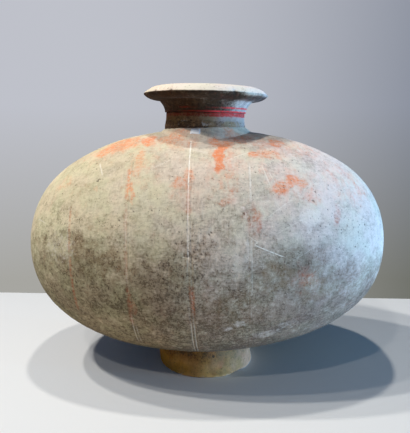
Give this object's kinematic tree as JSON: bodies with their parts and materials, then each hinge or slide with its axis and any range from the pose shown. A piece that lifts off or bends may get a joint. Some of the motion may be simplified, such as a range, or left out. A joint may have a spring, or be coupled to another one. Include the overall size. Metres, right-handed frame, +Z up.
{
  "type": "cocoon jar",
  "caption": "Cocoon-shaped earthenware jar lying on its side, with a short neck, a broad flanged mouth and a low ring foot, in worn pale slip with red pigment.",
  "frame": {"origin": "middle of the foot's resting face, on the foot's axis", "axes": "+Z up through the foot and the neck; +X along the cocoon towards its longer end; -Y towards the viewer of the picture"},
  "size_m": [0.36, 0.2324, 0.292],
  "materials": {
    "body_slip": "matte, worn pale slip over grey clay with traces of red pigment",
    "bare_clay": "matte, bare grey clay with finger marks",
    "neck_clay": "matte, dark soiled clay with a red band",
    "mouth_slip": "matte, cream slip",
    "foot_clay": "matte, ochre-stained clay"
  },
  "bodies": {
    "root": {"body_left_half": "body_slip", "body_right_half": "body_slip", "inner_seam_band": "bare_clay", "neck": "neck_clay", "neck_collar": "body_slip", "mouth_rim": "mouth_slip", "foot_ring": "foot_clay", "foot_root_coil": "bare_clay"}
  },
  "joints": []
}
